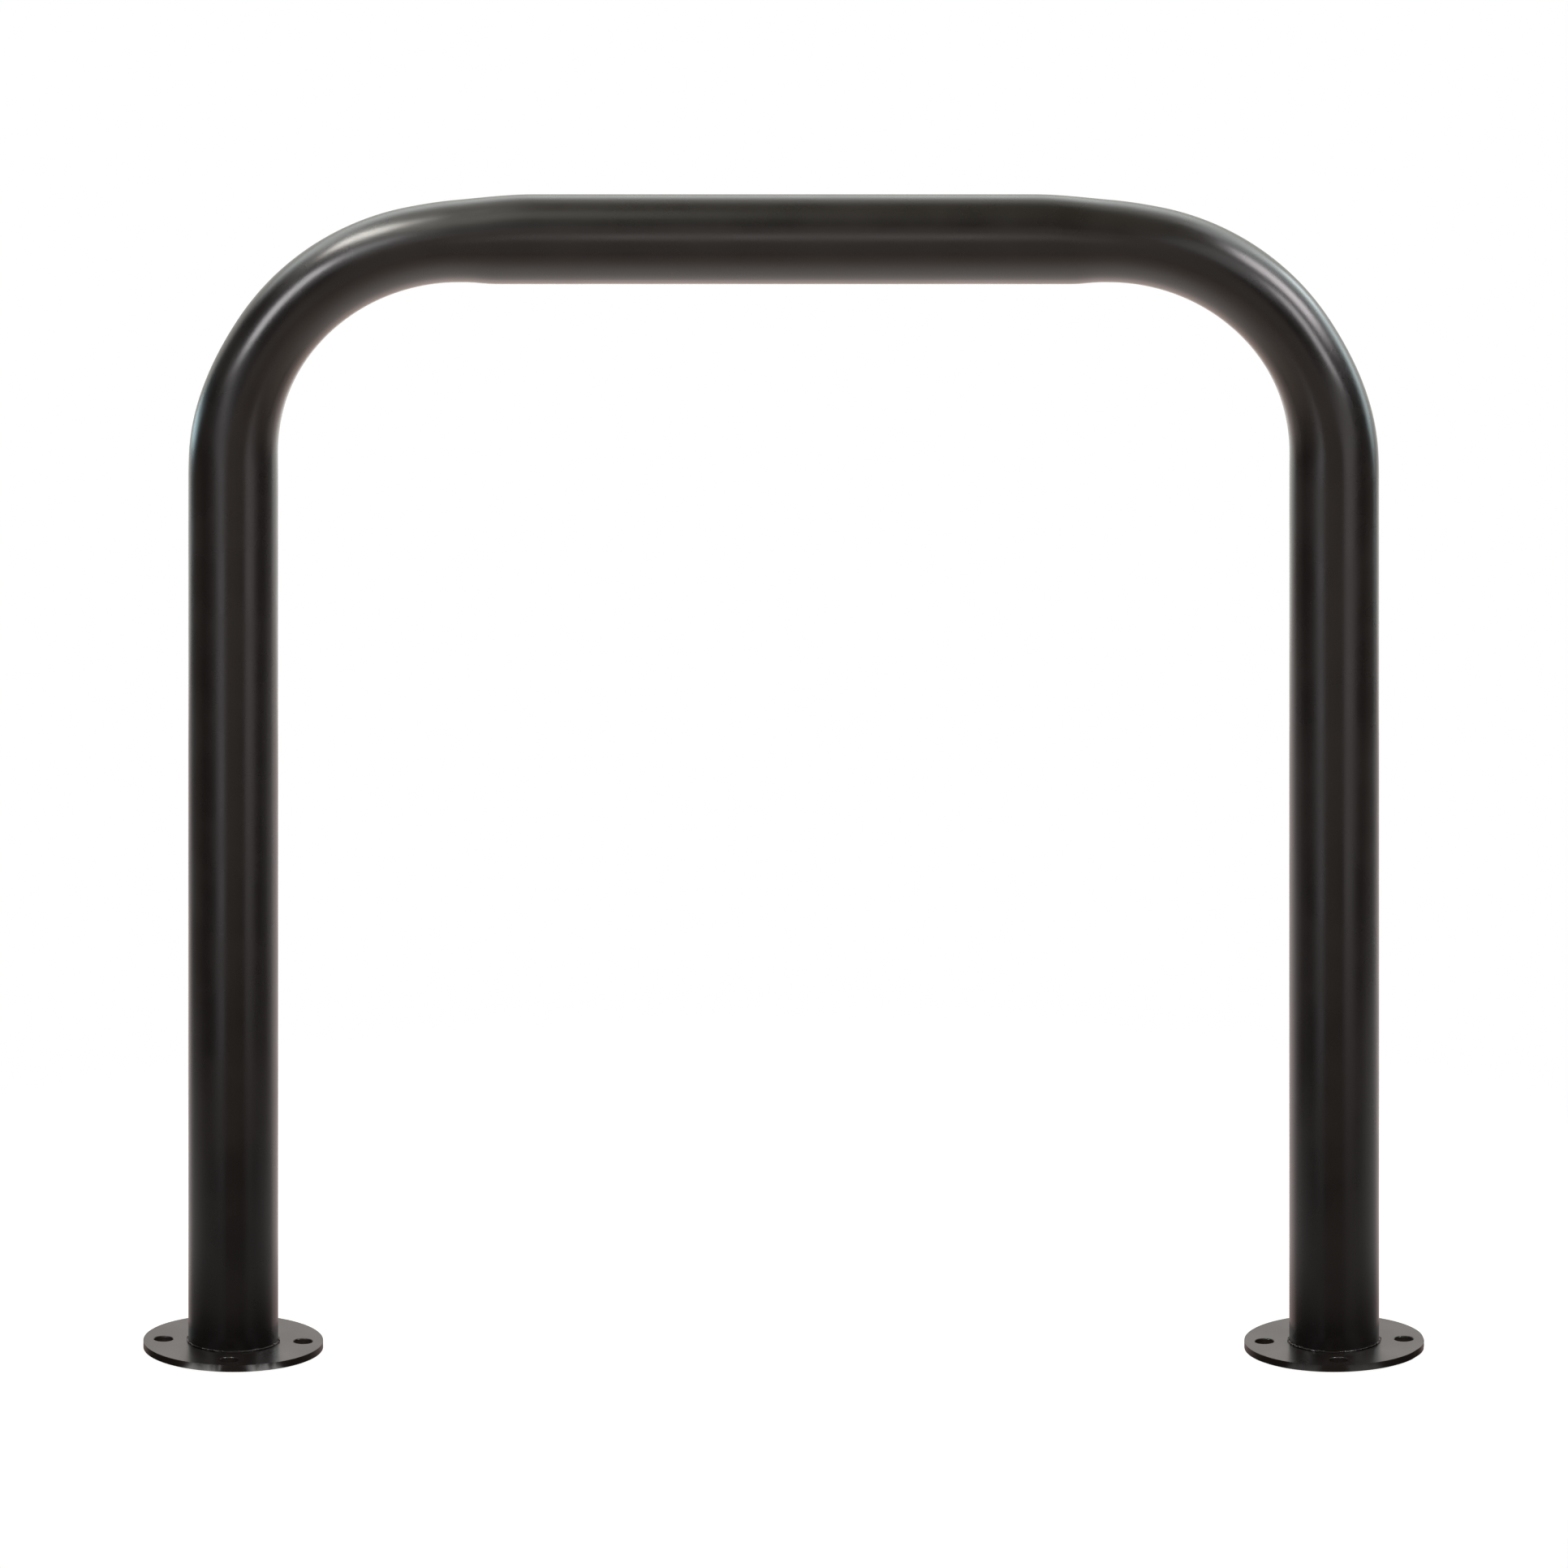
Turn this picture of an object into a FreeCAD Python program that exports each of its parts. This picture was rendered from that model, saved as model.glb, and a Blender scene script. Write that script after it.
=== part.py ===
import FreeCAD, Part
import math
import os

# Hoop bike rack: one round pipe bent into an upside-down U, welded to two round floor flanges.
# Millimetres. +Z is up and +X runs along the rail.
# The origin is on the floor, midway between the two legs.

# Hoop pipe, a nominal two inch pipe
PIPE_OD = 60.3
PIPE_WALL = 3.9
LEG_SPACING = 738.0
RACK_HEIGHT = 804.0
BEND_RADIUS = 151.0

# What the bending tool leaves: the outside of each bend is pressed in, the inside a little,
# and the pipe spreads sideways by a trace.
OUTSIDE_DROP = 5.8
INSIDE_DROP = 1.4
SIDE_SPREAD = 0.5

# Where the pressed-in stretch grows and fades, counted along the pipe's centre line.
# The leg end is gradual. The rail end is short, and on the inside it ends in a small step.
GROWTH_BEFORE_BEND = 15.0
GROWTH_LENGTH = 100.0
FADE_AFTER_BEND = 50.0
FADE_LENGTH = 80.0
STEP_AFTER_BEND = 25.0
STEP_LENGTH = 20.0

# Round stretch that the formed bend keeps at each end, and the spacing of its sections:
# close where the shape changes, wide in the leg below, and wider still in the hidden bore
ROUND_END = 15.0
CLOSE_SPACING = 10.0
WIDE_SPACING = 20.0
BORE_SPACING = 30.0

# Floor flange, a disc with four anchor holes and a vent hole under the pipe
FLANGE_OD = 120.65
FLANGE_THICKNESS = 4.76
BOLT_CIRCLE = 93.7
BOLT_HOLE = 12.7
BOLT_COUNT = 4
BOLT_TURN_DEG = 3.5
VENT_HOLE = 12.7

# Fillet weld round each foot of the pipe
WELD_LEG = 3.0

# A half ellipse as an exact spline
HALF_ELLIPSE_DEGREE = 2
HALF_ELLIPSE_WEIGHTS = [1.0, math.sqrt(0.5), 1.0, math.sqrt(0.5), 1.0]
HALF_ELLIPSE_KNOTS = [0.0, 0.5, 1.0]
HALF_ELLIPSE_MULTIPLICITIES = [3, 2, 3]

ORIGIN = FreeCAD.Vector(0.0, 0.0, 0.0)
ALONG_RAIL = FreeCAD.Vector(1.0, 0.0, 0.0)
ACROSS = FreeCAD.Vector(0.0, 1.0, 0.0)
UP = FreeCAD.Vector(0.0, 0.0, 1.0)

pipe_radius = PIPE_OD / 2
leg_x = -LEG_SPACING / 2
foot_z = FLANGE_THICKNESS
rail_z = RACK_HEIGHT - pipe_radius
bend_x = leg_x + BEND_RADIUS
bend_z = rail_z - BEND_RADIUS
bend_length = BEND_RADIUS * math.pi / 2
formed_start = -GROWTH_BEFORE_BEND - ROUND_END
pressed_end = bend_length + max(FADE_AFTER_BEND, STEP_AFTER_BEND)
formed_end = pressed_end + ROUND_END


def smooth_step(share):
    """Rise from 0 to 1 with a soft start and end."""
    share = min(max(share, 0.0), 1.0)
    return share * share * (3.0 - 2.0 * share)


def growth(along):
    """How fully the pipe is pressed in, coming from the leg."""
    return smooth_step((along + GROWTH_BEFORE_BEND) / GROWTH_LENGTH)


def fade(along, after_bend, length):
    """How much of it is left, going on into the rail."""
    return smooth_step((bend_length + after_bend - along) / length)


def pose_along(along):
    """Point and turn of the centre line, counted from the top of the straight leg."""
    if along <= 0.0:
        return FreeCAD.Vector(leg_x, 0.0, bend_z + along), 0.0
    if along >= bend_length:
        return FreeCAD.Vector(bend_x + along - bend_length, 0.0, rail_z), math.pi / 2
    turn = along / BEND_RADIUS
    x = bend_x - BEND_RADIUS * math.cos(turn)
    z = bend_z + BEND_RADIUS * math.sin(turn)
    return FreeCAD.Vector(x, 0.0, z), turn


def half_section(along, inset, side):
    """Control points of half a section, an exact half ellipse.

    Side is +1 for the outside of the bend and -1 for its inside, and inset is 0 or the wall.
    """
    outside_share = growth(along) * fade(along, FADE_AFTER_BEND, FADE_LENGTH)
    inside_share = growth(along) * fade(along, STEP_AFTER_BEND, STEP_LENGTH)
    drop = OUTSIDE_DROP * outside_share if side > 0 else INSIDE_DROP * inside_share
    radius = pipe_radius - inset
    point, turn = pose_along(along)
    outward = FreeCAD.Vector(-math.cos(turn), 0.0, math.sin(turn))
    wide = ACROSS * side * (radius + SIDE_SPREAD * outside_share)
    high = outward * side * (radius - drop)
    return [point + wide, point + wide + high, point + high, point - wide + high, point - wide]


def stations(bend_spacing, run_out_spacing):
    """Places of the sections along the formed bend."""
    places = [formed_start]
    stretches = [
        (0.0, run_out_spacing),
        (pressed_end, bend_spacing),
        (formed_end, run_out_spacing),
    ]
    for end, spacing in stretches:
        start = places[-1]
        count = math.ceil((end - start) / spacing)
        places += [start + (end - start) * i / count for i in range(1, count + 1)]
    return places


def bend_skin(side):
    """Half of the bend's outside, a surface that runs smoothly through the half sections."""
    places = stations(CLOSE_SPACING, WIDE_SPACING)
    sections = [half_section(along, 0.0, side) for along in places]
    strands = []
    for path in zip(*sections):
        strand = Part.BSplineCurve()
        strand.interpolate(Points=list(path), Parameters=places)
        strands.append(strand)
    poles = [strand.getPoles() for strand in strands]
    weights = [[weight] * len(poles[0]) for weight in HALF_ELLIPSE_WEIGHTS]
    skin = Part.BSplineSurface()
    skin.buildFromPolesMultsKnots(
        poles,
        HALF_ELLIPSE_MULTIPLICITIES,
        strands[0].getMultiplicities(),
        HALF_ELLIPSE_KNOTS,
        strands[0].getKnots(),
        False,
        False,
        HALF_ELLIPSE_DEGREE,
        strands[0].Degree,
        weights,
    )
    return skin


def bend_outside():
    """Solid of the bend with its run-outs, as if the pipe were full."""
    skins = [bend_skin(side) for side in (1, -1)]
    faces = [skin.toShape() for skin in skins]
    for end in (formed_start, formed_end):
        rim = Part.Wire([skin.vIso(end).toShape() for skin in skins])
        faces.append(Part.Face(rim))
    return Part.makeSolid(Part.Shell(faces))


def bore_section(along):
    """Outline of the bore at one place."""
    halves = []
    for side in (1, -1):
        half = Part.BSplineCurve()
        half.buildFromPolesMultsKnots(
            half_section(along, PIPE_WALL, side),
            HALF_ELLIPSE_MULTIPLICITIES,
            HALF_ELLIPSE_KNOTS,
            False,
            HALF_ELLIPSE_DEGREE,
            HALF_ELLIPSE_WEIGHTS,
        )
        halves.append(half.toShape())
    return Part.Wire(halves)


def bend_bore():
    """Solid of the bend's bore, which runs straight from section to section."""
    places = stations(BORE_SPACING, BORE_SPACING)
    return Part.makeLoft([bore_section(along) for along in places], True, True)


def straight_tube(start, end):
    """Round tube between two points of the centre line."""
    run = end - start
    outside = Part.makeCylinder(pipe_radius, run.Length, start, run)
    bore = Part.makeCylinder(pipe_radius - PIPE_WALL, run.Length, start, run)
    return outside.cut(bore)


def mirrored(shape):
    """The right-hand twin of a left-hand piece."""
    return shape.mirror(ORIGIN, ALONG_RAIL)


def hoop_pipe():
    """The whole bent pipe, hollow from foot to foot."""
    foot = FreeCAD.Vector(leg_x, 0.0, foot_z)
    leg_top, _ = pose_along(formed_start)
    rail_start, _ = pose_along(formed_end)
    rail_end = FreeCAD.Vector(-rail_start.x, 0.0, rail_z)
    leg = straight_tube(foot, leg_top)
    bend = bend_outside().cut(bend_bore())
    rail = straight_tube(rail_start, rail_end)
    pieces = [bend, rail, mirrored(bend), mirrored(leg)]
    return leg.fuse(pieces).removeSplitter()


def left_flange():
    """Floor disc with its anchor holes and the vent hole that the pipe covers."""
    centre = FreeCAD.Vector(leg_x, 0.0, 0.0)
    disc = Part.makeCylinder(FLANGE_OD / 2, FLANGE_THICKNESS, centre, UP)
    holes = [Part.makeCylinder(VENT_HOLE / 2, FLANGE_THICKNESS, centre, UP)]
    for i in range(BOLT_COUNT):
        angle = math.radians(i * 360.0 / BOLT_COUNT - BOLT_TURN_DEG)
        out = FreeCAD.Vector(math.cos(angle), math.sin(angle), 0.0) * (BOLT_CIRCLE / 2)
        holes.append(Part.makeCylinder(BOLT_HOLE / 2, FLANGE_THICKNESS, centre + out, UP))
    return disc.cut(holes)


def left_weld_bead():
    """Ring of fillet weld in the corner of pipe and flange."""
    root = FreeCAD.Vector(leg_x + pipe_radius, 0.0, foot_z)
    up_the_pipe = root + UP * WELD_LEG
    out_on_flange = root + ALONG_RAIL * WELD_LEG
    outline = Part.makePolygon([root, up_the_pipe, out_on_flange, root])
    return Part.Face(outline).revolve(FreeCAD.Vector(leg_x, 0.0, 0.0), UP, 360.0)


def main():
    flange = left_flange()
    weld = left_weld_bead()
    nodes = {
        "hoop_pipe": hoop_pipe(),
        "left_flange": flange,
        "right_flange": mirrored(flange),
        "left_weld_bead": weld,
        "right_weld_bead": mirrored(weld),
    }
    os.makedirs("parts", exist_ok=True)
    for name, shape in nodes.items():
        shape.exportStep(f"parts/{name}.step")


main()
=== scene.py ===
import math
import random

import bmesh
import bpy
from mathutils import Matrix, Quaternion, Vector


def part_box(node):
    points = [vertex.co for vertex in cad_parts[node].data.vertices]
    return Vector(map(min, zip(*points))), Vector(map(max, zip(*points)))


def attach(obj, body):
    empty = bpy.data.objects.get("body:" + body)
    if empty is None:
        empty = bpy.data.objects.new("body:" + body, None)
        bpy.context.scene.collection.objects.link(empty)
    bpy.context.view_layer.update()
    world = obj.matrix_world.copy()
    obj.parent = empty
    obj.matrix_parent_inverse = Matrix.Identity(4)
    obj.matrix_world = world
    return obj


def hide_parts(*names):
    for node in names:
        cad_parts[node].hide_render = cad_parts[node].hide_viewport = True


# Looks of the hoop bike rack, in metres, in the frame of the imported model.
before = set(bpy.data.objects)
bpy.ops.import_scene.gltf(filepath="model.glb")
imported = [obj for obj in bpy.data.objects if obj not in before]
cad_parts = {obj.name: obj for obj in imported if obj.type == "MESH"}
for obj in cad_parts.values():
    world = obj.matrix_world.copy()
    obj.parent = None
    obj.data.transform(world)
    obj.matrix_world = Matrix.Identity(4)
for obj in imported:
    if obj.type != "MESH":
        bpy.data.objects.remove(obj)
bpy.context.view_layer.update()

# Pipe, the same sizes as the solid's
RACK_HEIGHT = 0.804
PIPE_RADIUS = 0.0603 / 2
PIPE_WALL = 0.0039
BEND_RADIUS = 0.151
OUTSIDE_DROP = 0.0058
INSIDE_DROP = 0.0014
SIDE_SPREAD = 0.0005
GROWTH_BEFORE_BEND = 0.015
GROWTH_LENGTH = 0.100
FADE_AFTER_BEND = 0.050
FADE_LENGTH = 0.080
STEP_AFTER_BEND = 0.025
STEP_LENGTH = 0.020

# Sides of the pipe's mesh, spacing of its rings, and how small a share of the pressing is left out
PIPE_SIDES = 128
LEG_RING_SPACING = 0.06
BEND_RING_SPACING = 0.005
RAIL_RING_SPACING = 0.04
LEAST_PRESSING = 0.0005

# A vertex this near counts as on a ring, or as on the line between the ring's halves, and the two
# halves of the hoop are merged where they come this near
ON_RING = 1e-5
ON_MIDDLE = 1e-6
MERGE_DISTANCE = 1e-5

# Edges sharper than this stay sharp in the shading
SMOOTH_ANGLE = 35.0

# Flange, with its rim a trace inside the solid's
BOLT_CIRCLE_RADIUS = 0.0937 / 2
BOLT_HOLE_RADIUS = 0.0127 / 2
BOLT_COUNT = 4
BOLT_TURN_DEG = 3.5
VENT_HOLE_RADIUS = 0.0127 / 2
HOLE_SIDES = 64
HOLE_ROUNDING = 0.0009
HOLE_ROUNDING_STEPS = 5
RIM_COLUMNS = 288
RIM_SHARE = 0.99995
RIM_BEVEL = 0.0006
RIM_BEVEL_STEPS = 3
RIM_BEVEL_ANGLE = 60.0

# Where the flange's rim, its holes and its top are looked for, as shares of its radius and thickness
RIM_BEYOND = 0.9
HOLES_WITHIN = 0.92
TOP_ABOVE = 0.9

# Marks of the cutter on the rim: small ones in all columns, and leaning ones, each by one of these
# shares, in two arcs counted in degrees from straight ahead. Chips: angle, columns to each side, depth.
SMALL_MARK = 0.00006
MARKED_ARCS = ((-26.0, -9.0), (12.0, 30.0))
MARK_LEAN = 0.0009
MARK_SHARES = (0.0, 0.25, 0.6, 1.0)
RIGHT_CHIPS = ((88.0, 1, 0.0008), (98.0, 6, 0.0003), (66.0, 6, 0.00035), (-50.0, 2, 0.0002))

# Weld bead: a thin run, whose middle line stands off the pipe and the flange by these shares of its
# radius, remeshed together with its lumps
BEAD_RADIUS = 0.00085
BEAD_OFF_PIPE = 0.3
BEAD_OFF_FLANGE = 0.35
BEAD_SEGMENTS = 180
BEAD_SIDES = 12
BEAD_VOXEL = 0.00016
BEAD_SMOOTHING = 0.4

# Lumps in the bead: each strays from its place, and has a size, a length along the bead, a height
# and a tilt of its own. Most are small and long, and those of the rough arc are large and short.
LUMP_RADIUS = 0.0008
LUMP_SHAPE = (1.05, 0.95, 1.1)
LUMP_SPACING = 0.0014
LUMP_STRAY = 0.45
LUMP_STRAY_OUT = (-0.0002, 0.0004)
LUMP_STRAY_UP = (0.0, 0.0005)
LUMP_LEAST_SIZE = 0.4
LUMP_SIZE_RANGE = 0.75
LUMP_LENGTH = (1.0, 2.4)
LUMP_HEIGHT = (0.9, 1.3)
LUMP_TILT = (-0.3, 0.3)
ROUGH_LUMP_SIZE = (0.75, 1.2)
ROUGH_LUMP_LENGTH = (0.8, 1.1)

# The two feet: side, name, seed of the rim, strength of its marks, chips, and the bead's rough arc in
# degrees from straight ahead. The bead's seed is the rim's plus this step.
FEET = (
    (-1.0, "left", 3, 1.0, (), (8.0, 60.0)),
    (1.0, "right", 8, 0.3, RIGHT_CHIPS, (-75.0, -12.0)),
)
BEAD_SEED_STEP = 20

# Dark bronze powder coat: its two tones, and on each kind of piece its roughness, the waves of its
# orange peel per metre, and their height
COAT_DARK = (0.0050, 0.0040, 0.0036, 1.0)
COAT_LIGHT = (0.0085, 0.0070, 0.0062, 1.0)
PIPE_COAT = (0.28, 560.0, 0.000012)
FLANGE_COAT = (0.30, 700.0, 0.000016)
WELD_COAT = (0.20, 900.0, 0.000005)

# Orange peel: grit, as waves to one wave of the peel and as a share of its height, and patches where
# both are lower, with the stretch of their noise that is used
GRIT_FINENESS = 3.1
GRIT_SHARE = 0.35
PATCH_WAVES = 14.0
PATCH_NOISE = (0.35, 0.7)
PATCH_HEIGHT = (0.55, 1.0)

# Drift of the coat's tone and roughness: waves per metre, stretches of the noise that are used, and
# what they add
CLOUD_WAVES = 22.0
CLOUD_NOISE = (0.3, 0.7)
CLOUD_TONE = (0.0, 0.6)
SPECK_WAVES = 1600.0
SPECK_NOISE = (0.45, 0.75)
SPECK_TONE = (0.0, 0.4)
GLOSS_NOISE = (0.25, 0.75)
GLOSS_DRIFT = (-0.03, 0.03)

# Studio panels: each with the place it is counted from, its distance, its azimuth, elevation, width,
# height and turn in degrees, its radiance and its colour
LEFT_BEND = Vector((-0.30, 0.0, 0.73))
RIGHT_BEND = Vector((0.30, 0.0, 0.73))
MIDDLE = Vector((0.0, 0.0, 0.45))
RAIL = Vector((0.0, 0.0, 0.774))
RAIL_LEFT_END = Vector((-0.34, 0.0, 0.774))
ROOM_PANELS = (
    ("front wall", MIDDLE, 9.0, 0.6, 15.4, 47.8, 65.5, 5.0, 0.5, (1.0, 0.86, 0.78)),
)
PIPE_PANELS = (
    ("left strip", LEFT_BEND, 2.6, -67.2, 29.0, 16.4, 34.4, -4.5, 13.0, (1.0, 0.98, 1.0)),
    ("left low sheet", MIDDLE, 9.0, -44.6, -7.5, 8.9, 50.2, 55.2, 2.4, (0.98, 0.96, 1.0)),
    ("left ceiling box", LEFT_BEND, 2.6, -123.0, 59.6, 15.4, 25.6, -5.6, 18.0, (1.0, 0.97, 0.91)),
    ("left ceiling glow", LEFT_BEND, 2.6, -121.0, 58.0, 42.0, 48.0, 0.0, 0.7, (1.0, 0.98, 0.95)),
    ("right strip", RIGHT_BEND, 2.6, 102.8, 34.8, 18.9, 33.8, -1.9, 12.2, (1.0, 0.95, 0.98)),
    ("right near strip", RIGHT_BEND, 2.6, 68.3, 20.4, 13.4, 29.2, 3.4, 9.6, (1.0, 0.96, 0.98)),
    ("right strips' glow", RIGHT_BEND, 2.6, 92.0, 36.0, 56.0, 44.0, 0.0, 0.35, (1.0, 0.97, 0.95)),
    ("right low sheet", MIDDLE, 9.0, 48.2, -8.0, 17.9, 41.7, -56.2, 1.55, (1.0, 0.93, 0.93)),
    ("left edge sheet", MIDDLE, 9.0, -134.0, -7.6, 24.4, 5.9, 0.0, 5.5, (0.66, 0.92, 1.0)),
    ("right edge sheet", MIDDLE, 9.0, 134.2, 2.9, 12.9, 38.3, -46.6, 3.9, (0.82, 0.98, 1.0)),
    ("left ceiling sheet", LEFT_BEND, 2.6, -42.7, 58.1, 53.0, 39.0, -50.3, 0.8, (0.98, 1.0, 1.0)),
    ("left arch sheet", LEFT_BEND, 2.6, -47.8, 52.5, 24.4, 14.3, 21.6, 3.95, (0.98, 0.96, 1.0)),
    ("right arch sheet", RIGHT_BEND, 2.6, 46.9, 42.1, 31.6, 34.7, 18.2, 1.16, (0.99, 1.0, 1.0)),
    ("left rim sheet", LEFT_BEND, 2.6, -140.0, 35.0, 24.0, 40.0, 0.0, 0.7, (0.9, 0.98, 1.0)),
    ("right rim sheet", RIGHT_BEND, 2.6, 137.0, 30.0, 26.0, 44.0, 0.0, 1.6, (0.9, 0.98, 1.0)),
    ("rail front sheet", RAIL, 0.5, 0.0, 22.0, 40.0, 12.0, 0.0, 1.35, (1.0, 0.97, 0.95)),
    ("rail ceiling sheet", RAIL_LEFT_END, 1.1, 0.0, 82.0, 28.0, 22.0, 0.0, 1.2, (1.0, 1.0, 0.9)),
)
FLANGE_PANELS = (
    ("high front sheet", MIDDLE, 9.0, 0.0, 62.0, 90.0, 40.0, 0.0, 1.2, (1.0, 0.98, 0.97)),
    ("left hole lamp", MIDDLE, 9.0, -44.0, 46.0, 8.0, 8.0, 0.0, 100.0, (1.0, 0.98, 1.0)),
    ("right hole lamp", MIDDLE, 9.0, 58.0, 46.0, 8.0, 8.0, 0.0, 100.0, (1.0, 0.97, 0.98)),
)
BEAD_PANELS = (
    ("left bead lamp", MIDDLE, 9.0, -58.0, 42.0, 8.0, 12.0, 0.0, 45.0, (1.0, 0.98, 1.0)),
    ("right bead lamp", MIDDLE, 9.0, 52.0, 42.0, 8.0, 12.0, 0.0, 45.0, (1.0, 0.97, 0.98)),
)

# White wall close behind the rack: each stretch with the pieces that it lights, its left, right,
# lower and upper edge, how far it stands before the wall, its radiance and its colour
BACK_DISTANCE = 0.84
BACK_PANELS = (
    ("all", "back wall", -1.13, 1.13, 0.18, 2.21, 0.0, 0.95, (1.0, 0.98, 0.92)),
    ("all", "back wall foot", -1.13, 1.13, -1.28, 0.18, 0.0, 0.55, (1.0, 0.75, 0.71)),
    ("pipe", "back wall middle", -0.55, 0.45, -0.3, 1.35, 0.0, 0.9, (1.0, 0.96, 0.92)),
    ("pipe", "back wall band", -1.0, 1.0, 0.98, 1.42, 0.03, 1.4, (0.92, 1.0, 0.99)),
    ("flange", "back wall low", -1.13, 1.13, 0.02, 0.62, 0.02, 0.26, (1.0, 0.98, 0.96)),
)

# Dim room beyond the panels: how high a direction points where each glow starts and where it is full,
# and its colour
ROOM_GLOWS = (
    ((-0.17, -0.64), (0.77, 0.62, 0.54)),
    ((-0.64, -0.99), (0.76, 0.78, 0.79)),
    ((0.71, 0.98), (0.24, 0.22, 0.15)),
)
WHITE = (1.0, 1.0, 1.0, 1.0)

# Floor, a trace under the flanges: pale paper, and the distances between which it fades into white
FLOOR_SIZE = 6.0
FLOOR_DROP = 0.0003
PAPER_COLOUR = (0.8, 0.8, 0.8, 1.0)
PAPER_ROUGHNESS = 0.9
PAPER_SPECULAR = 0.1
PAPER_LIGHT = 0.9
PAPER_FADE = (0.5, 0.8)

# What the coat sees of the floor. Facing runs from 0 straight down to 1 along the floor, and between
# these values the floor closes. It is open far ahead of the rack, nearly closed near it, and open
# again behind it.
FLOOR_CLOSES = (0.40, 0.62)
OPEN_AHEAD = (-1.4, -0.2)
OPEN_NEAR = 0.1
OPEN_BEHIND = (-0.06, 0.04)

# Faint glow of the closed floor, with the places along X and Y, and the distances from a leg, between
# which it grows or fades
FLOOR_GLOW = 0.45
GLOW_GROWS_LEFT = (-1.5, -0.4)
GLOW_FADES_RIGHT = (1.0, 1.6)
GLOW_GROWS_BACK = (-0.4, 0.0)
GLOW_GROWS_FROM_LEG = (0.09, 0.30)

# Glow on the floor close round each flange, for its rim alone: strength on the left and on the right,
# the X between which one passes into the other, how far it reaches from the leg, how near it is seen
# from, and the degrees to each side of straight ahead between which it grows and fades
RIM_GLOW = (4.0, 0.8)
RIM_GLOW_CHANGES = (-0.1, 0.1)
RIM_GLOW_REACH = 0.079
RIM_GLOW_NEAR = 0.022
RIM_GLOW_GROWS = (8.0, 14.0)
RIM_GLOW_FADES = (29.0, 37.0)

# Camera at the photograph's angle, so many degrees down, without perspective
CAMERA_PITCH = 16.4
CAMERA_AIM = Vector((0.0002, 0.0, 0.3932))
CAMERA_DISTANCE = 6.0
VIEW_WIDTH = 1.0511
VIEW_DEPTH = 60.0

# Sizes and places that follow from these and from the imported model
flange_low, flange_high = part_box("left_flange")
LEG_X = (flange_low.x + flange_high.x) / 2
FLANGE_RADIUS = (flange_high.y - flange_low.y) / 2
FLANGE_TOP = flange_high.z
RAIL_Z = RACK_HEIGHT - PIPE_RADIUS
BEND_Z = RAIL_Z - BEND_RADIUS
BEND_LENGTH = BEND_RADIUS * math.pi / 2
CUTTER_LENGTH = FLANGE_TOP * 3
BEAD_LINE_RADIUS = PIPE_RADIUS + BEAD_RADIUS * BEAD_OFF_PIPE
BEAD_LINE_HEIGHT = FLANGE_TOP + BEAD_RADIUS * BEAD_OFF_FLANGE


def select_nothing():
    """Deselect everything, because an operator acts on all that is selected."""
    bpy.ops.object.select_all(action="DESELECT")


def only(piece):
    """Leave just this piece selected and active."""
    select_nothing()
    piece.select_set(True)
    bpy.context.view_layer.objects.active = piece


def select_vertices(piece, wanted):
    """In edit mode, select the vertices that the test picks."""
    mesh = bmesh.from_edit_mesh(piece.data)
    for vertex in mesh.verts:
        vertex.select = wanted(vertex.co)
    mesh.select_flush_mode()
    bmesh.update_edit_mesh(piece.data)


def apply_modifier(piece, kind, **settings):
    """Add a modifier with these settings and apply it."""
    only(piece)
    modifier = piece.modifiers.new(kind.lower(), kind)
    for name, value in settings.items():
        setattr(modifier, name, value)
    bpy.ops.object.modifier_apply(modifier=modifier.name)


def settle(piece):
    """Put the piece's place into its mesh, with its object at the origin."""
    only(piece)
    bpy.ops.object.transform_apply(location=True, rotation=True, scale=True)


def finish_piece(piece, node, material):
    """Shade the piece, paint it and let it stand for its solid."""
    only(piece)
    bpy.ops.object.shade_smooth_by_angle(angle=math.radians(SMOOTH_ANGLE))
    piece.data.materials.clear()
    piece.data.materials.append(material)
    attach(piece, "root")
    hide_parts(node)


# The pipe

def smooth_step(share):
    """Rise from 0 to 1 with a soft start and end."""
    share = min(max(share, 0.0), 1.0)
    return share * share * (3.0 - 2.0 * share)


def growth(along):
    """How fully the pipe is pressed in, coming from the leg."""
    return smooth_step((along + GROWTH_BEFORE_BEND) / GROWTH_LENGTH)


def fade(along, after_bend, length):
    """How much of it is left, going on into the rail."""
    return smooth_step((BEND_LENGTH + after_bend - along) / length)


def pipe_stations():
    """Places of the rings along the pipe, from its foot to the middle of the rail.

    They are counted from the start of the bend, as everything along the pipe is.
    """
    places = [FLANGE_TOP - BEND_Z]
    stretches = (
        (-GROWTH_BEFORE_BEND, LEG_RING_SPACING),
        (BEND_LENGTH + FADE_AFTER_BEND, BEND_RING_SPACING),
        (BEND_LENGTH - LEG_X - BEND_RADIUS, RAIL_RING_SPACING),
    )
    for end, spacing in stretches:
        start = places[-1]
        count = math.ceil((end - start) / spacing)
        places += [start + (end - start) * i / count for i in range(1, count + 1)]
    return places


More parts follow.
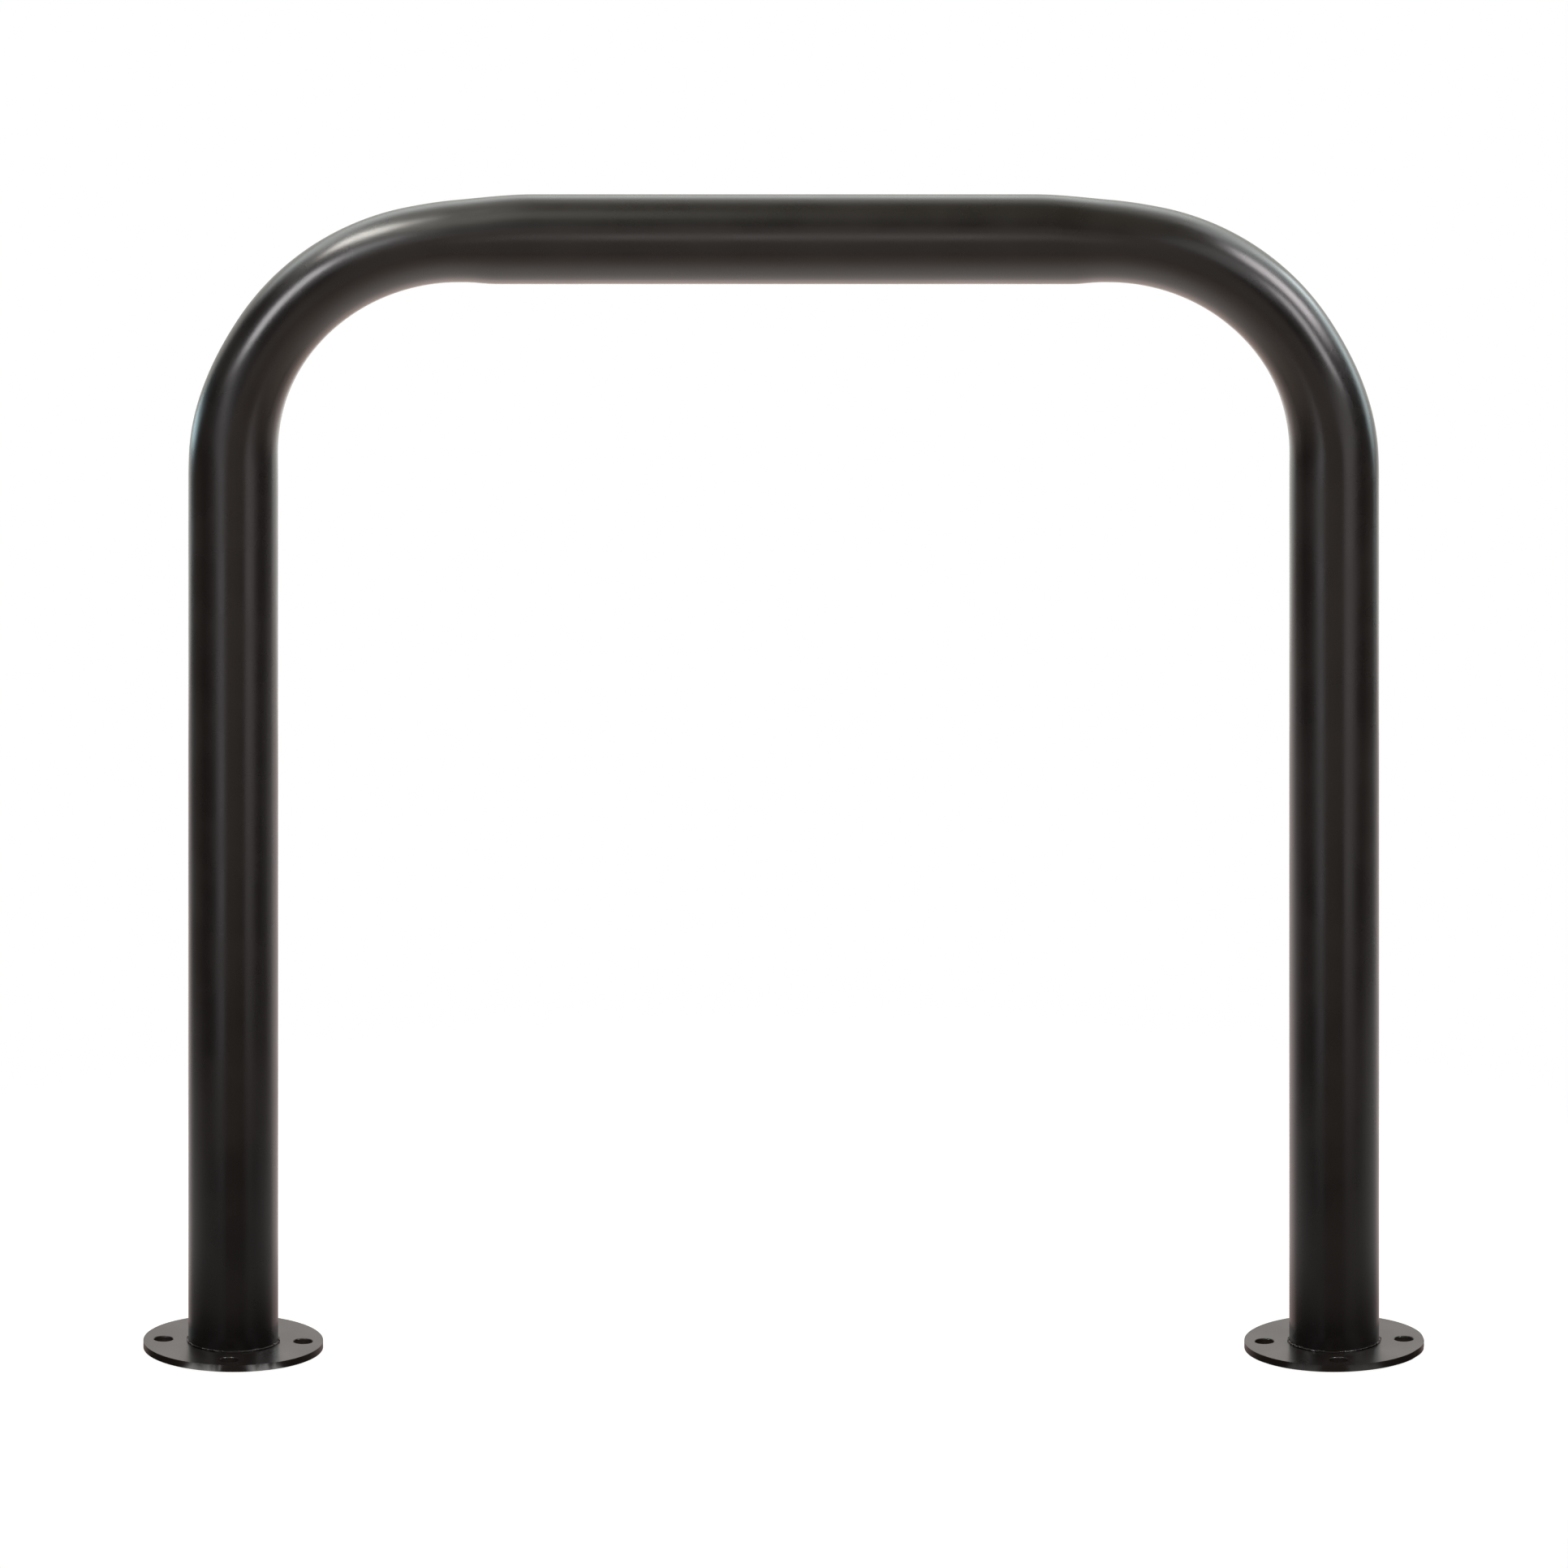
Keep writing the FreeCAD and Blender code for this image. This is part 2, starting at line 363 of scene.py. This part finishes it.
def press_ring(tube, along):
    """Flatten one ring of the straight tube as the bend will have it.

    The tube still stands upright over the leg, with the outside of the bend towards -X.
    """
    outside = growth(along) * fade(along, FADE_AFTER_BEND, FADE_LENGTH)
    inside = growth(along) * fade(along, STEP_AFTER_BEND, STEP_LENGTH)
    if outside < LEAST_PRESSING and inside < LEAST_PRESSING:
        return
    middle = (LEG_X, 0.0, BEND_Z + along)
    halves = (
        (-1.0, 1.0 - OUTSIDE_DROP / PIPE_RADIUS * outside),
        (1.0, 1.0 - INSIDE_DROP / PIPE_RADIUS * inside),
    )
    for side, squeeze in halves:
        select_vertices(tube, lambda co: abs(co.z - along) < ON_RING and co.x * side > ON_MIDDLE)
        bpy.ops.transform.resize(value=(squeeze, 1.0, 1.0), center_override=middle)
    widening = 1.0 + SIDE_SPREAD / PIPE_RADIUS * outside
    select_vertices(tube, lambda co: abs(co.z - along) < ON_RING)
    bpy.ops.transform.resize(value=(1.0, widening, 1.0), center_override=middle)


def hoop_pipe():
    """Left half as a straight tube, pressed in and bent, then mirrored and given its wall."""
    places = pipe_stations()
    select_nothing()
    bpy.ops.mesh.primitive_circle_add(
        vertices=PIPE_SIDES, radius=PIPE_RADIUS, location=(LEG_X, 0.0, BEND_Z)
    )
    tube = bpy.context.object
    tube.name = "coated_hoop_pipe"
    bpy.ops.object.mode_set(mode="EDIT")
    bpy.ops.mesh.select_all(action="SELECT")
    bpy.ops.transform.translate(value=(0.0, 0.0, places[0]))
    for start, end in zip(places, places[1:]):
        bpy.ops.mesh.extrude_region_move(TRANSFORM_OT_translate={"value": (0.0, 0.0, end - start)})
    for along in places:
        press_ring(tube, along)
    bpy.ops.mesh.select_all(action="SELECT")
    bpy.ops.mesh.normals_make_consistent(inside=False)
    bpy.ops.object.mode_set(mode="OBJECT")
    length = places[-1] - places[0]
    apply_modifier(
        tube,
        "SIMPLE_DEFORM",
        deform_method="BEND",
        deform_axis="Y",
        angle=math.pi / 2,
        limits=(-places[0] / length, (BEND_LENGTH - places[0]) / length),
    )
    settle(tube)
    apply_modifier(tube, "MIRROR", use_axis=(True, False, False), merge_threshold=MERGE_DISTANCE)
    apply_modifier(tube, "SOLIDIFY", thickness=PIPE_WALL, offset=-1.0, use_even_offset=True)
    return tube


# The flanges

def from_ahead(x, y):
    """Angle about the foot's middle, counted from straight ahead, positive to the right."""
    return math.atan2(x, -y)


def on_rim(co, column, end):
    """Whether a vertex of the disc is in this column of its rim, at the upper or the lower end."""
    near_rim = math.hypot(co.x, co.y) > FLANGE_RADIUS * RIM_BEYOND
    its_column = round(from_ahead(co.x, co.y) / (2 * math.pi) * RIM_COLUMNS)
    return near_rim and co.z * end > 0.0 and its_column == column


def cut_rim(disc, side, seed, marks, chips):
    """Mark the cut rim: small marks all round, leaning ones where the cutter chattered, chips."""
    chance = random.Random(seed)
    middle = (side * -LEG_X, 0.0, FLANGE_TOP / 2)
    half = RIM_COLUMNS // 2
    inward = {column: SMALL_MARK * chance.random() ** 2 for column in range(-half, half + 1)}
    lean = {}
    for low, high in MARKED_ARCS:
        for column in range(math.ceil(low * RIM_COLUMNS / 360), int(high * RIM_COLUMNS / 360) + 1):
            lean[column] = marks * MARK_LEAN * chance.choice(MARK_SHARES)
    for angle, width, depth in chips:
        deepest = round(angle * RIM_COLUMNS / 360)
        for column in range(deepest - width, deepest + width + 1):
            inward[column] += depth * (1.0 - abs(column - deepest) / (width + 1))
    for column in inward:
        for end, extra in ((-1.0, 0.0), (1.0, lean.get(column, 0.0))):
            select_vertices(disc, lambda co: on_rim(co, column, end))
            shrink = 1.0 - (inward[column] + extra) / FLANGE_RADIUS
            bpy.ops.transform.resize(value=(shrink, shrink, 1.0), center_override=middle)


def cut_hole(disc, x, y, radius):
    """Cut one round hole through the disc."""
    select_nothing()
    bpy.ops.mesh.primitive_cylinder_add(
        vertices=HOLE_SIDES, radius=radius, depth=CUTTER_LENGTH, location=(x, y, FLANGE_TOP / 2)
    )
    cutter = bpy.context.object
    apply_modifier(disc, "BOOLEAN", operation="DIFFERENCE", object=cutter, solver="EXACT")
    bpy.data.objects.remove(cutter)


def round_holes(disc, side):
    """Roll over the upper edges of the punched holes."""
    only(disc)
    bpy.ops.object.mode_set(mode="EDIT")
    bpy.ops.mesh.select_mode(type="EDGE")
    bpy.ops.mesh.select_all(action="DESELECT")
    mesh = bmesh.from_edit_mesh(disc.data)

    def on_hole(vertex):
        from_middle = math.hypot(vertex.co.x - side * -LEG_X, vertex.co.y)
        return vertex.co.z > FLANGE_TOP * TOP_ABOVE and from_middle < FLANGE_RADIUS * HOLES_WITHIN

    for edge in mesh.edges:
        faces = [abs(face.normal.z) for face in edge.link_faces]
        if all(on_hole(vertex) for vertex in edge.verts) and min(faces) < 0.5 < max(faces):
            edge.select = True
    mesh.select_flush_mode()
    bmesh.update_edit_mesh(disc.data)
    bpy.ops.mesh.bevel(offset=HOLE_ROUNDING, segments=HOLE_ROUNDING_STEPS, affect="EDGES")
    bpy.ops.mesh.select_mode(type="VERT")
    bpy.ops.object.mode_set(mode="OBJECT")


def flange(side, name, seed, marks, chips):
    """Floor disc with its cut rim, broken edges, anchor holes and vent hole."""
    select_nothing()
    bpy.ops.mesh.primitive_cylinder_add(
        vertices=RIM_COLUMNS,
        radius=FLANGE_RADIUS * RIM_SHARE,
        depth=FLANGE_TOP,
        location=(side * -LEG_X, 0.0, FLANGE_TOP / 2),
    )
    disc = bpy.context.object
    disc.name = name
    bpy.ops.object.mode_set(mode="EDIT")
    cut_rim(disc, side, seed, marks, chips)
    bpy.ops.object.mode_set(mode="OBJECT")
    settle(disc)
    cut_hole(disc, side * -LEG_X, 0.0, VENT_HOLE_RADIUS)
    for i in range(BOLT_COUNT):
        angle = math.radians(i * 360.0 / BOLT_COUNT + side * BOLT_TURN_DEG)
        x = side * -LEG_X + BOLT_CIRCLE_RADIUS * math.cos(angle)
        cut_hole(disc, x, BOLT_CIRCLE_RADIUS * math.sin(angle), BOLT_HOLE_RADIUS)
    round_holes(disc, side)
    apply_modifier(
        disc,
        "BEVEL",
        width=RIM_BEVEL,
        segments=RIM_BEVEL_STEPS,
        limit_method="ANGLE",
        angle_limit=math.radians(RIM_BEVEL_ANGLE),
    )
    return disc


def flatten_shading(disc):
    """Let the wide flat faces shade flat and the bevels round."""
    apply_modifier(disc, "WEIGHTED_NORMAL", weight=100, keep_sharp=True)


# The weld beads

def bead_run(side):
    """The thin ring of weld in the corner of pipe and flange."""
    select_nothing()
    bpy.ops.mesh.primitive_torus_add(
        major_radius=BEAD_LINE_RADIUS,
        minor_radius=BEAD_RADIUS,
        major_segments=BEAD_SEGMENTS,
        minor_segments=BEAD_SIDES,
        location=(side * -LEG_X, 0.0, BEAD_LINE_HEIGHT),
    )
    return bpy.context.object


def lump_of_weld():
    """One slightly flattened lump at the origin, to be copied."""
    select_nothing()
    bpy.ops.mesh.primitive_ico_sphere_add(subdivisions=2, radius=LUMP_RADIUS, location=(0.0, 0.0, 0.0))
    lump = bpy.context.object
    bpy.ops.object.mode_set(mode="EDIT")
    bpy.ops.mesh.select_all(action="SELECT")
    bpy.ops.transform.resize(value=LUMP_SHAPE, center_override=(0.0, 0.0, 0.0))
    bpy.ops.object.mode_set(mode="OBJECT")
    return lump


def copied_lump(lump, side, turn, rough, chance):
    """A copy of the lump on the bead, with its own place, size and tilt."""
    if rough:
        size = chance.uniform(*ROUGH_LUMP_SIZE)
        length = chance.uniform(*ROUGH_LUMP_LENGTH)
    else:
        size = LUMP_LEAST_SIZE + LUMP_SIZE_RANGE * chance.random() ** 2
        length = chance.uniform(*LUMP_LENGTH)
    out = BEAD_LINE_RADIUS + chance.uniform(*LUMP_STRAY_OUT)
    up = BEAD_LINE_HEIGHT + chance.uniform(*LUMP_STRAY_UP)
    copy = lump.copy()
    copy.data = lump.data.copy()
    bpy.context.scene.collection.objects.link(copy)
    copy.location = (side * -LEG_X + out * math.cos(turn), out * math.sin(turn), up)
    copy.rotation_euler = (chance.uniform(*LUMP_TILT), 0.0, turn)
    copy.scale = (size, size * length, size * chance.uniform(*LUMP_HEIGHT))
    return copy


def weld_bead(side, name, seed, rough_arc):
    """Thin run of weld in the corner of pipe and flange, with lumps of all sizes melted into it."""
    chance = random.Random(seed)
    run = bead_run(side)
    lump = lump_of_weld()
    pieces = [run]
    count = round(2 * math.pi * BEAD_LINE_RADIUS / LUMP_SPACING)
    for i in range(count):
        turn = (i + chance.uniform(-LUMP_STRAY, LUMP_STRAY)) * 2 * math.pi / count
        rough = rough_arc[0] < math.degrees(from_ahead(math.cos(turn), math.sin(turn))) < rough_arc[1]
        pieces.append(copied_lump(lump, side, turn, rough, chance))
    bpy.data.objects.remove(lump)
    select_nothing()
    for piece in pieces:
        piece.select_set(True)
    bpy.context.view_layer.objects.active = run
    bpy.ops.object.join()
    run.name = name
    settle(run)
    apply_modifier(run, "REMESH", mode="VOXEL", voxel_size=BEAD_VOXEL, use_smooth_shade=True)
    apply_modifier(run, "SMOOTH", factor=BEAD_SMOOTHING, iterations=1)
    return run


# Nodes that the finishes, the floor and the room share

def new_group(name, inputs, outputs):
    """An empty node group with named sockets, each given by its label and kind."""
    group = bpy.data.node_groups.new(name, "ShaderNodeTree")
    for label, kind in inputs:
        group.interface.new_socket(label, in_out="INPUT", socket_type=kind)
    for label, kind in outputs:
        group.interface.new_socket(label, in_out="OUTPUT", socket_type=kind)
    return group, group.nodes.new("NodeGroupInput"), group.nodes.new("NodeGroupOutput")


def group_node(tree, group, **values):
    """The group in a material, with the values of its inputs. An underline stands for a space."""
    node = tree.nodes.new("ShaderNodeGroup")
    node.node_tree = group
    for label, value in values.items():
        node.inputs[label.replace("_", " ")].default_value = value
    return node


def math_node(tree, operation, *values):
    """A Math node whose inputs are sockets or numbers."""
    node = tree.nodes.new("ShaderNodeMath")
    node.operation = operation
    for socket, value in zip(node.inputs, values):
        if isinstance(value, (int, float)):
            socket.default_value = value
        else:
            tree.links.new(value, socket)
    return node.outputs[0]


def vector_math(tree, operation, first, second):
    """A Vector Math node. The second input may be plain numbers."""
    node = tree.nodes.new("ShaderNodeVectorMath")
    node.operation = operation
    tree.links.new(first, node.inputs[0])
    if isinstance(second, tuple):
        node.inputs[1].default_value = second
    else:
        tree.links.new(second, node.inputs[1])
    return node.outputs[0]


def product(tree, first, *others):
    """All of these masks multiplied."""
    for other in others:
        first = math_node(tree, "MULTIPLY", first, other)
    return first


def noise(tree, place, scale, detail=2.0):
    """A Noise texture at so many waves per metre."""
    node = tree.nodes.new("ShaderNodeTexNoise")
    node.inputs["Detail"].default_value = detail
    tree.links.new(place, node.inputs["Vector"])
    if isinstance(scale, (int, float)):
        node.inputs["Scale"].default_value = scale
    else:
        tree.links.new(scale, node.inputs["Scale"])
    return node.outputs["Fac"]


def spread(tree, value, old, new):
    """Map the stretch from old[0] to old[1] onto that from new[0] to new[1], softly at both ends."""
    node = tree.nodes.new("ShaderNodeMapRange")
    node.interpolation_type = "SMOOTHSTEP"
    tree.links.new(value, node.inputs["Value"])
    for label, number in zip(("From Min", "From Max", "To Min", "To Max"), (*old, *new)):
        node.inputs[label].default_value = number
    return node.outputs["Result"]


def mix_colours(tree, share, first, second):
    """Pass from the first colour to the second. The second may be plain numbers."""
    node = tree.nodes.new("ShaderNodeMix")
    node.data_type = "RGBA"
    tree.links.new(share, node.inputs["Factor"])
    tree.links.new(first, node.inputs["A"])
    if isinstance(second, tuple):
        node.inputs["B"].default_value = second
    else:
        tree.links.new(second, node.inputs["B"])
    return node.outputs["Result"]


def mix_shaders(tree, share, first, second):
    """Pass from the first shader to the second."""
    node = tree.nodes.new("ShaderNodeMixShader")
    tree.links.new(share, node.inputs[0])
    tree.links.new(first.outputs[0], node.inputs[1])
    tree.links.new(second.outputs[0], node.inputs[2])
    return node


# Finishes

def orange_peel():
    """Height of sprayed and baked powder: pebbled waves about a millimetre wide, and a fine grit."""
    group, given, made = new_group(
        "orange peel",
        [("Place", "NodeSocketVector"), ("Wave Scale", "NodeSocketFloat")],
        [("Height", "NodeSocketFloat")],
    )
    place = given.outputs["Place"]
    waves = noise(group, place, given.outputs["Wave Scale"], detail=1.0)
    grit_scale = math_node(group, "MULTIPLY", given.outputs["Wave Scale"], GRIT_FINENESS)
    grit = math_node(group, "MULTIPLY", noise(group, place, grit_scale), GRIT_SHARE)
    patches = spread(group, noise(group, place, PATCH_WAVES), PATCH_NOISE, PATCH_HEIGHT)
    height = math_node(group, "MULTIPLY", math_node(group, "ADD", grit, waves), patches)
    group.links.new(height, made.inputs["Height"])
    return group


def coat_tone():
    """Colour and gloss of the dark bronze coat, which drift slightly over the surface."""
    group, given, made = new_group(
        "coat tone",
        [
            ("Place", "NodeSocketVector"),
            ("Dark", "NodeSocketColor"),
            ("Light", "NodeSocketColor"),
            ("Roughness", "NodeSocketFloat"),
        ],
        [("Color", "NodeSocketColor"), ("Roughness", "NodeSocketFloat")],
    )
    cloud = noise(group, given.outputs["Place"], CLOUD_WAVES, detail=3.0)
    speck = noise(group, given.outputs["Place"], SPECK_WAVES, detail=1.0)
    clouds = spread(group, cloud, CLOUD_NOISE, CLOUD_TONE)
    share = math_node(group, "ADD", clouds, spread(group, speck, SPECK_NOISE, SPECK_TONE))
    colour = mix_colours(group, share, given.outputs["Dark"], given.outputs["Light"])
    group.links.new(colour, made.inputs["Color"])
    drift = spread(group, cloud, GLOSS_NOISE, GLOSS_DRIFT)
    gloss = math_node(group, "ADD", drift, given.outputs["Roughness"])
    group.links.new(gloss, made.inputs["Roughness"])
    return group


def coated(name, peel, tone, roughness, wave_scale, depth):
    """Dark bronze powder coat as one material."""
    material = bpy.data.materials.new(name)
    material.use_nodes = True
    tree = material.node_tree
    shader = tree.nodes["Principled BSDF"]
    place = tree.nodes.new("ShaderNodeTexCoord").outputs["Object"]
    colour = group_node(tree, tone, Dark=COAT_DARK, Light=COAT_LIGHT, Roughness=roughness)
    height = group_node(tree, peel, Wave_Scale=wave_scale)
    tree.links.new(place, colour.inputs["Place"])
    tree.links.new(place, height.inputs["Place"])
    bump = tree.nodes.new("ShaderNodeBump")
    bump.inputs["Strength"].default_value = 1.0
    bump.inputs["Distance"].default_value = depth
    tree.links.new(height.outputs["Height"], bump.inputs["Height"])
    tree.links.new(colour.outputs["Color"], shader.inputs["Base Color"])
    tree.links.new(colour.outputs["Roughness"], shader.inputs["Roughness"])
    tree.links.new(bump.outputs["Normal"], shader.inputs["Normal"])
    shader.inputs["Specular IOR Level"].default_value = 0.5
    return material


# Floor

def paper_shader(tree):
    """Pale paper with a little light of its own."""
    paper = tree.nodes["Principled BSDF"]
    paper.inputs["Base Color"].default_value = PAPER_COLOUR
    paper.inputs["Roughness"].default_value = PAPER_ROUGHNESS
    paper.inputs["Specular IOR Level"].default_value = PAPER_SPECULAR
    paper.inputs["Emission Color"].default_value = WHITE
    paper.inputs["Emission Strength"].default_value = PAPER_LIGHT
    return paper


def floor_opening(tree, facing, y):
    """How open the floor is to the coat, so that it sees the white room below."""
    steep = spread(tree, facing, FLOOR_CLOSES, (1.0, 0.0))
    ahead = spread(tree, y, OPEN_AHEAD, (1.0, OPEN_NEAR))
    behind = spread(tree, y, OPEN_BEHIND, (0.0, 1.0))
    return math_node(tree, "MAXIMUM", math_node(tree, "MAXIMUM", steep, ahead), behind)


def floor_glow(tree, facing, ray_length, x, y):
    """How brightly the floor glows for the coat: faintly about the rack, and more close to the flanges."""
    side = math_node(tree, "SIGN", x)
    from_leg = math_node(tree, "SUBTRACT", x, math_node(tree, "MULTIPLY", side, -LEG_X))
    ahead = math_node(tree, "MULTIPLY", y, -1.0)
    across_squared = math_node(tree, "POWER", from_leg, 2.0)
    ahead_squared = math_node(tree, "POWER", ahead, 2.0)
    reach = math_node(tree, "SQRT", math_node(tree, "ADD", across_squared, ahead_squared))
    around = math_node(tree, "ABSOLUTE", math_node(tree, "ARCTAN2", from_leg, ahead))
    faint = product(
        tree,
        spread(tree, x, GLOW_FADES_RIGHT, (1.0, 0.0)),
        spread(tree, x, GLOW_GROWS_LEFT, (0.0, 1.0)),
        spread(tree, y, GLOW_GROWS_BACK, (0.0, 1.0)),
        spread(tree, facing, FLOOR_CLOSES, (0.0, FLOOR_GLOW)),
        spread(tree, reach, GLOW_GROWS_FROM_LEG, (0.0, 1.0)),
    )
    at_rim = product(
        tree,
        math_node(tree, "LESS_THAN", reach, RIM_GLOW_REACH),
        math_node(tree, "GREATER_THAN", reach, FLANGE_RADIUS),
        spread(tree, around, [math.radians(angle) for angle in RIM_GLOW_GROWS], (0.0, 1.0)),
        spread(tree, around, [math.radians(angle) for angle in RIM_GLOW_FADES], (1.0, 0.0)),
        spread(tree, x, RIM_GLOW_CHANGES, RIM_GLOW),
        math_node(tree, "LESS_THAN", ray_length, RIM_GLOW_NEAR),
    )
    return math_node(tree, "ADD", faint, at_rim)


def mirrored_floor(tree, facing, ray_length, x, y):
    """The floor as the coat sees it."""
    opening = tree.nodes.new("ShaderNodeBsdfTransparent")
    tree.links.new(floor_opening(tree, facing, y), opening.inputs["Color"])
    glow = tree.nodes.new("ShaderNodeEmission")
    tree.links.new(floor_glow(tree, facing, ray_length, x, y), glow.inputs["Strength"])
    both = tree.nodes.new("ShaderNodeAddShader")
    tree.links.new(opening.outputs[0], both.inputs[0])
    tree.links.new(glow.outputs[0], both.inputs[1])
    return both


def floor_material():
    """Plain pale paper under the rack, fading into the white round it.

    Only the camera sees the paper. The coat mirrors a floor that is open to the white room below
    where it looks down steeply, far ahead of the rack and behind it, and that is dark with a faint
    glow elsewhere.
    """
    material = bpy.data.materials.new("pale floor")
    material.use_nodes = True
    tree = material.node_tree
    place = tree.nodes.new("ShaderNodeTexCoord").outputs["Object"]
    parts = tree.nodes.new("ShaderNodeSeparateXYZ")
    tree.links.new(place, parts.inputs["Vector"])
    distance = tree.nodes.new("ShaderNodeVectorMath")
    distance.operation = "LENGTH"
    tree.links.new(place, distance.inputs[0])
    slant = tree.nodes.new("ShaderNodeLayerWeight")
    slant.inputs["Blend"].default_value = 0.5
    path = tree.nodes.new("ShaderNodeLightPath")
    mirrored = mirrored_floor(
        tree,
        slant.outputs["Facing"],
        path.outputs["Ray Length"],
        parts.outputs["X"],
        parts.outputs["Y"],
    )
    sheet = spread(tree, distance.outputs["Value"], PAPER_FADE, (1.0, 0.0))
    beyond = tree.nodes.new("ShaderNodeBsdfTransparent")
    fading = mix_shaders(tree, sheet, beyond, paper_shader(tree))
    seen = mix_shaders(tree, path.outputs["Is Camera Ray"], mirrored, fading)
    tree.links.new(seen.outputs[0], tree.nodes["Material Output"].inputs["Surface"])
    return material


# Studio

def area_light(name, width, height, radiance, colour, lit):
    """A soft rectangular light that the camera doesn't see, for the lit pieces or for all."""
    light = bpy.data.lights.new(name, "AREA")
    light.shape = "RECTANGLE"
    light.size = width
    light.size_y = height
    light.energy = radiance * math.pi * width * height
    light.color = colour
    lamp = bpy.data.objects.new(name, light)
    bpy.context.scene.collection.objects.link(lamp)
    lamp.visible_camera = False
    if lit is not None:
        lamp.light_linking.receiver_collection = lit
    return lamp


def panel(name, seen_from, distance, azimuth, elevation, width, height, turn, radiance, colour, lit):
    """A panel of the studio. Azimuth 0 is in front, and grows to the right."""
    turned, raised = math.radians(azimuth), math.radians(elevation)
    out = Vector(
        (math.cos(raised) * math.sin(turned), -math.cos(raised) * math.cos(turned), math.sin(raised))
    )
    wide = 2 * distance * math.tan(math.radians(width / 2))
    high = 2 * distance * math.tan(math.radians(height / 2))
    lamp = area_light(name, wide, high, radiance, colour, lit)
    lamp.location = seen_from + out * distance
    upright = out.to_track_quat("Z", "Y")
    lamp.rotation_euler = (upright @ Quaternion((0.0, 0.0, 1.0), math.radians(turn))).to_euler()


def back_panel(name, left, right, low, high, forward, radiance, colour, lit):
    """A stretch of the white wall close behind the rack."""
    lamp = area_light(name, right - left, high - low, radiance, colour, lit)
    lamp.location = ((left + right) / 2, BACK_DISTANCE - forward, (low + high) / 2)
    lamp.rotation_euler = (-math.pi / 2, 0.0, 0.0)


def pieces_lit(name, pieces):
    """The pieces that a light is meant for, as a collection."""
    lit = bpy.data.collections.new(name)
    for piece in pieces:
        lit.objects.link(piece)
    return lit


def room():
    """Dim room with white below, and plain white for the camera."""
    world = bpy.data.worlds.new("studio")
    bpy.context.scene.world = world
    world.use_nodes = True
    tree = world.node_tree
    parts = tree.nodes.new("ShaderNodeSeparateXYZ")
    tree.links.new(tree.nodes.new("ShaderNodeTexCoord").outputs["Generated"], parts.inputs["Vector"])
    glows = []
    for heights, glow in ROOM_GLOWS:
        share = spread(tree, parts.outputs["Z"], heights, (0.0, 1.0))
        glows.append(vector_math(tree, "MULTIPLY", share, glow))
    colour = glows[0]
    for glow in glows[1:]:
        colour = vector_math(tree, "ADD", colour, glow)
    path = tree.nodes.new("ShaderNodeLightPath")
    seen = mix_colours(tree, path.outputs["Is Camera Ray"], colour, WHITE)
    tree.links.new(seen, tree.nodes["Background"].inputs["Color"])


def studio(pipe, flanges, beads):
    """Floor, room and panels. Some panels light the pipe, the flanges or the beads alone."""
    select_nothing()
    bpy.ops.mesh.primitive_plane_add(size=FLOOR_SIZE, location=(0.0, 0.0, -FLOOR_DROP))
    floor = bpy.context.object
    floor.name = "floor"
    floor.data.materials.append(floor_material())
    room()
    lit = {"all": None}
    for values in ROOM_PANELS:
        panel(*values, lit["all"])
    kinds = (
        ("pipe", [pipe], PIPE_PANELS),
        ("flange", flanges, FLANGE_PANELS),
        ("bead", beads, BEAD_PANELS),
    )
    for kind, pieces, panels in kinds:
        lit[kind] = pieces_lit(f"{kind} light", pieces)
        for values in panels:
            panel(*values, lit[kind])
    for kind, *values in BACK_PANELS:
        back_panel(*values, lit[kind])


def camera():
    """Camera far off in front, looking slightly down."""
    pitch = math.radians(CAMERA_PITCH)
    back = Vector((0.0, -math.cos(pitch), math.sin(pitch)))
    data = bpy.data.cameras.new("camera")
    data.type = "ORTHO"
    data.ortho_scale = VIEW_WIDTH
    data.clip_end = VIEW_DEPTH
    eye = bpy.data.objects.new("camera", data)
    bpy.context.scene.collection.objects.link(eye)
    eye.location = CAMERA_AIM + back * CAMERA_DISTANCE
    eye.rotation_euler = (math.pi / 2 - pitch, 0.0, 0.0)
    bpy.context.scene.camera = eye


def main():
    peel = orange_peel()
    tone = coat_tone()
    pipe_coat = coated("pipe coat", peel, tone, *PIPE_COAT)
    flange_coat = coated("flange coat", peel, tone, *FLANGE_COAT)
    weld_coat = coated("weld coat", peel, tone, *WELD_COAT)
    pipe = hoop_pipe()
    finish_piece(pipe, "hoop_pipe", pipe_coat)
    flanges = []
    beads = []
    for side, hand, seed, marks, chips, rough_arc in FEET:
        disc = flange(side, f"coated_{hand}_flange", seed, marks, chips)
        finish_piece(disc, f"{hand}_flange", flange_coat)
        flatten_shading(disc)
        flanges.append(disc)
        bead = weld_bead(side, f"coated_{hand}_weld_bead", seed + BEAD_SEED_STEP, rough_arc)
        finish_piece(bead, f"{hand}_weld_bead", weld_coat)
        beads.append(bead)
    studio(pipe, flanges, beads)
    camera()
    bpy.context.scene.view_settings.view_transform = "Standard"
    bpy.context.scene.view_settings.look = "None"


main()
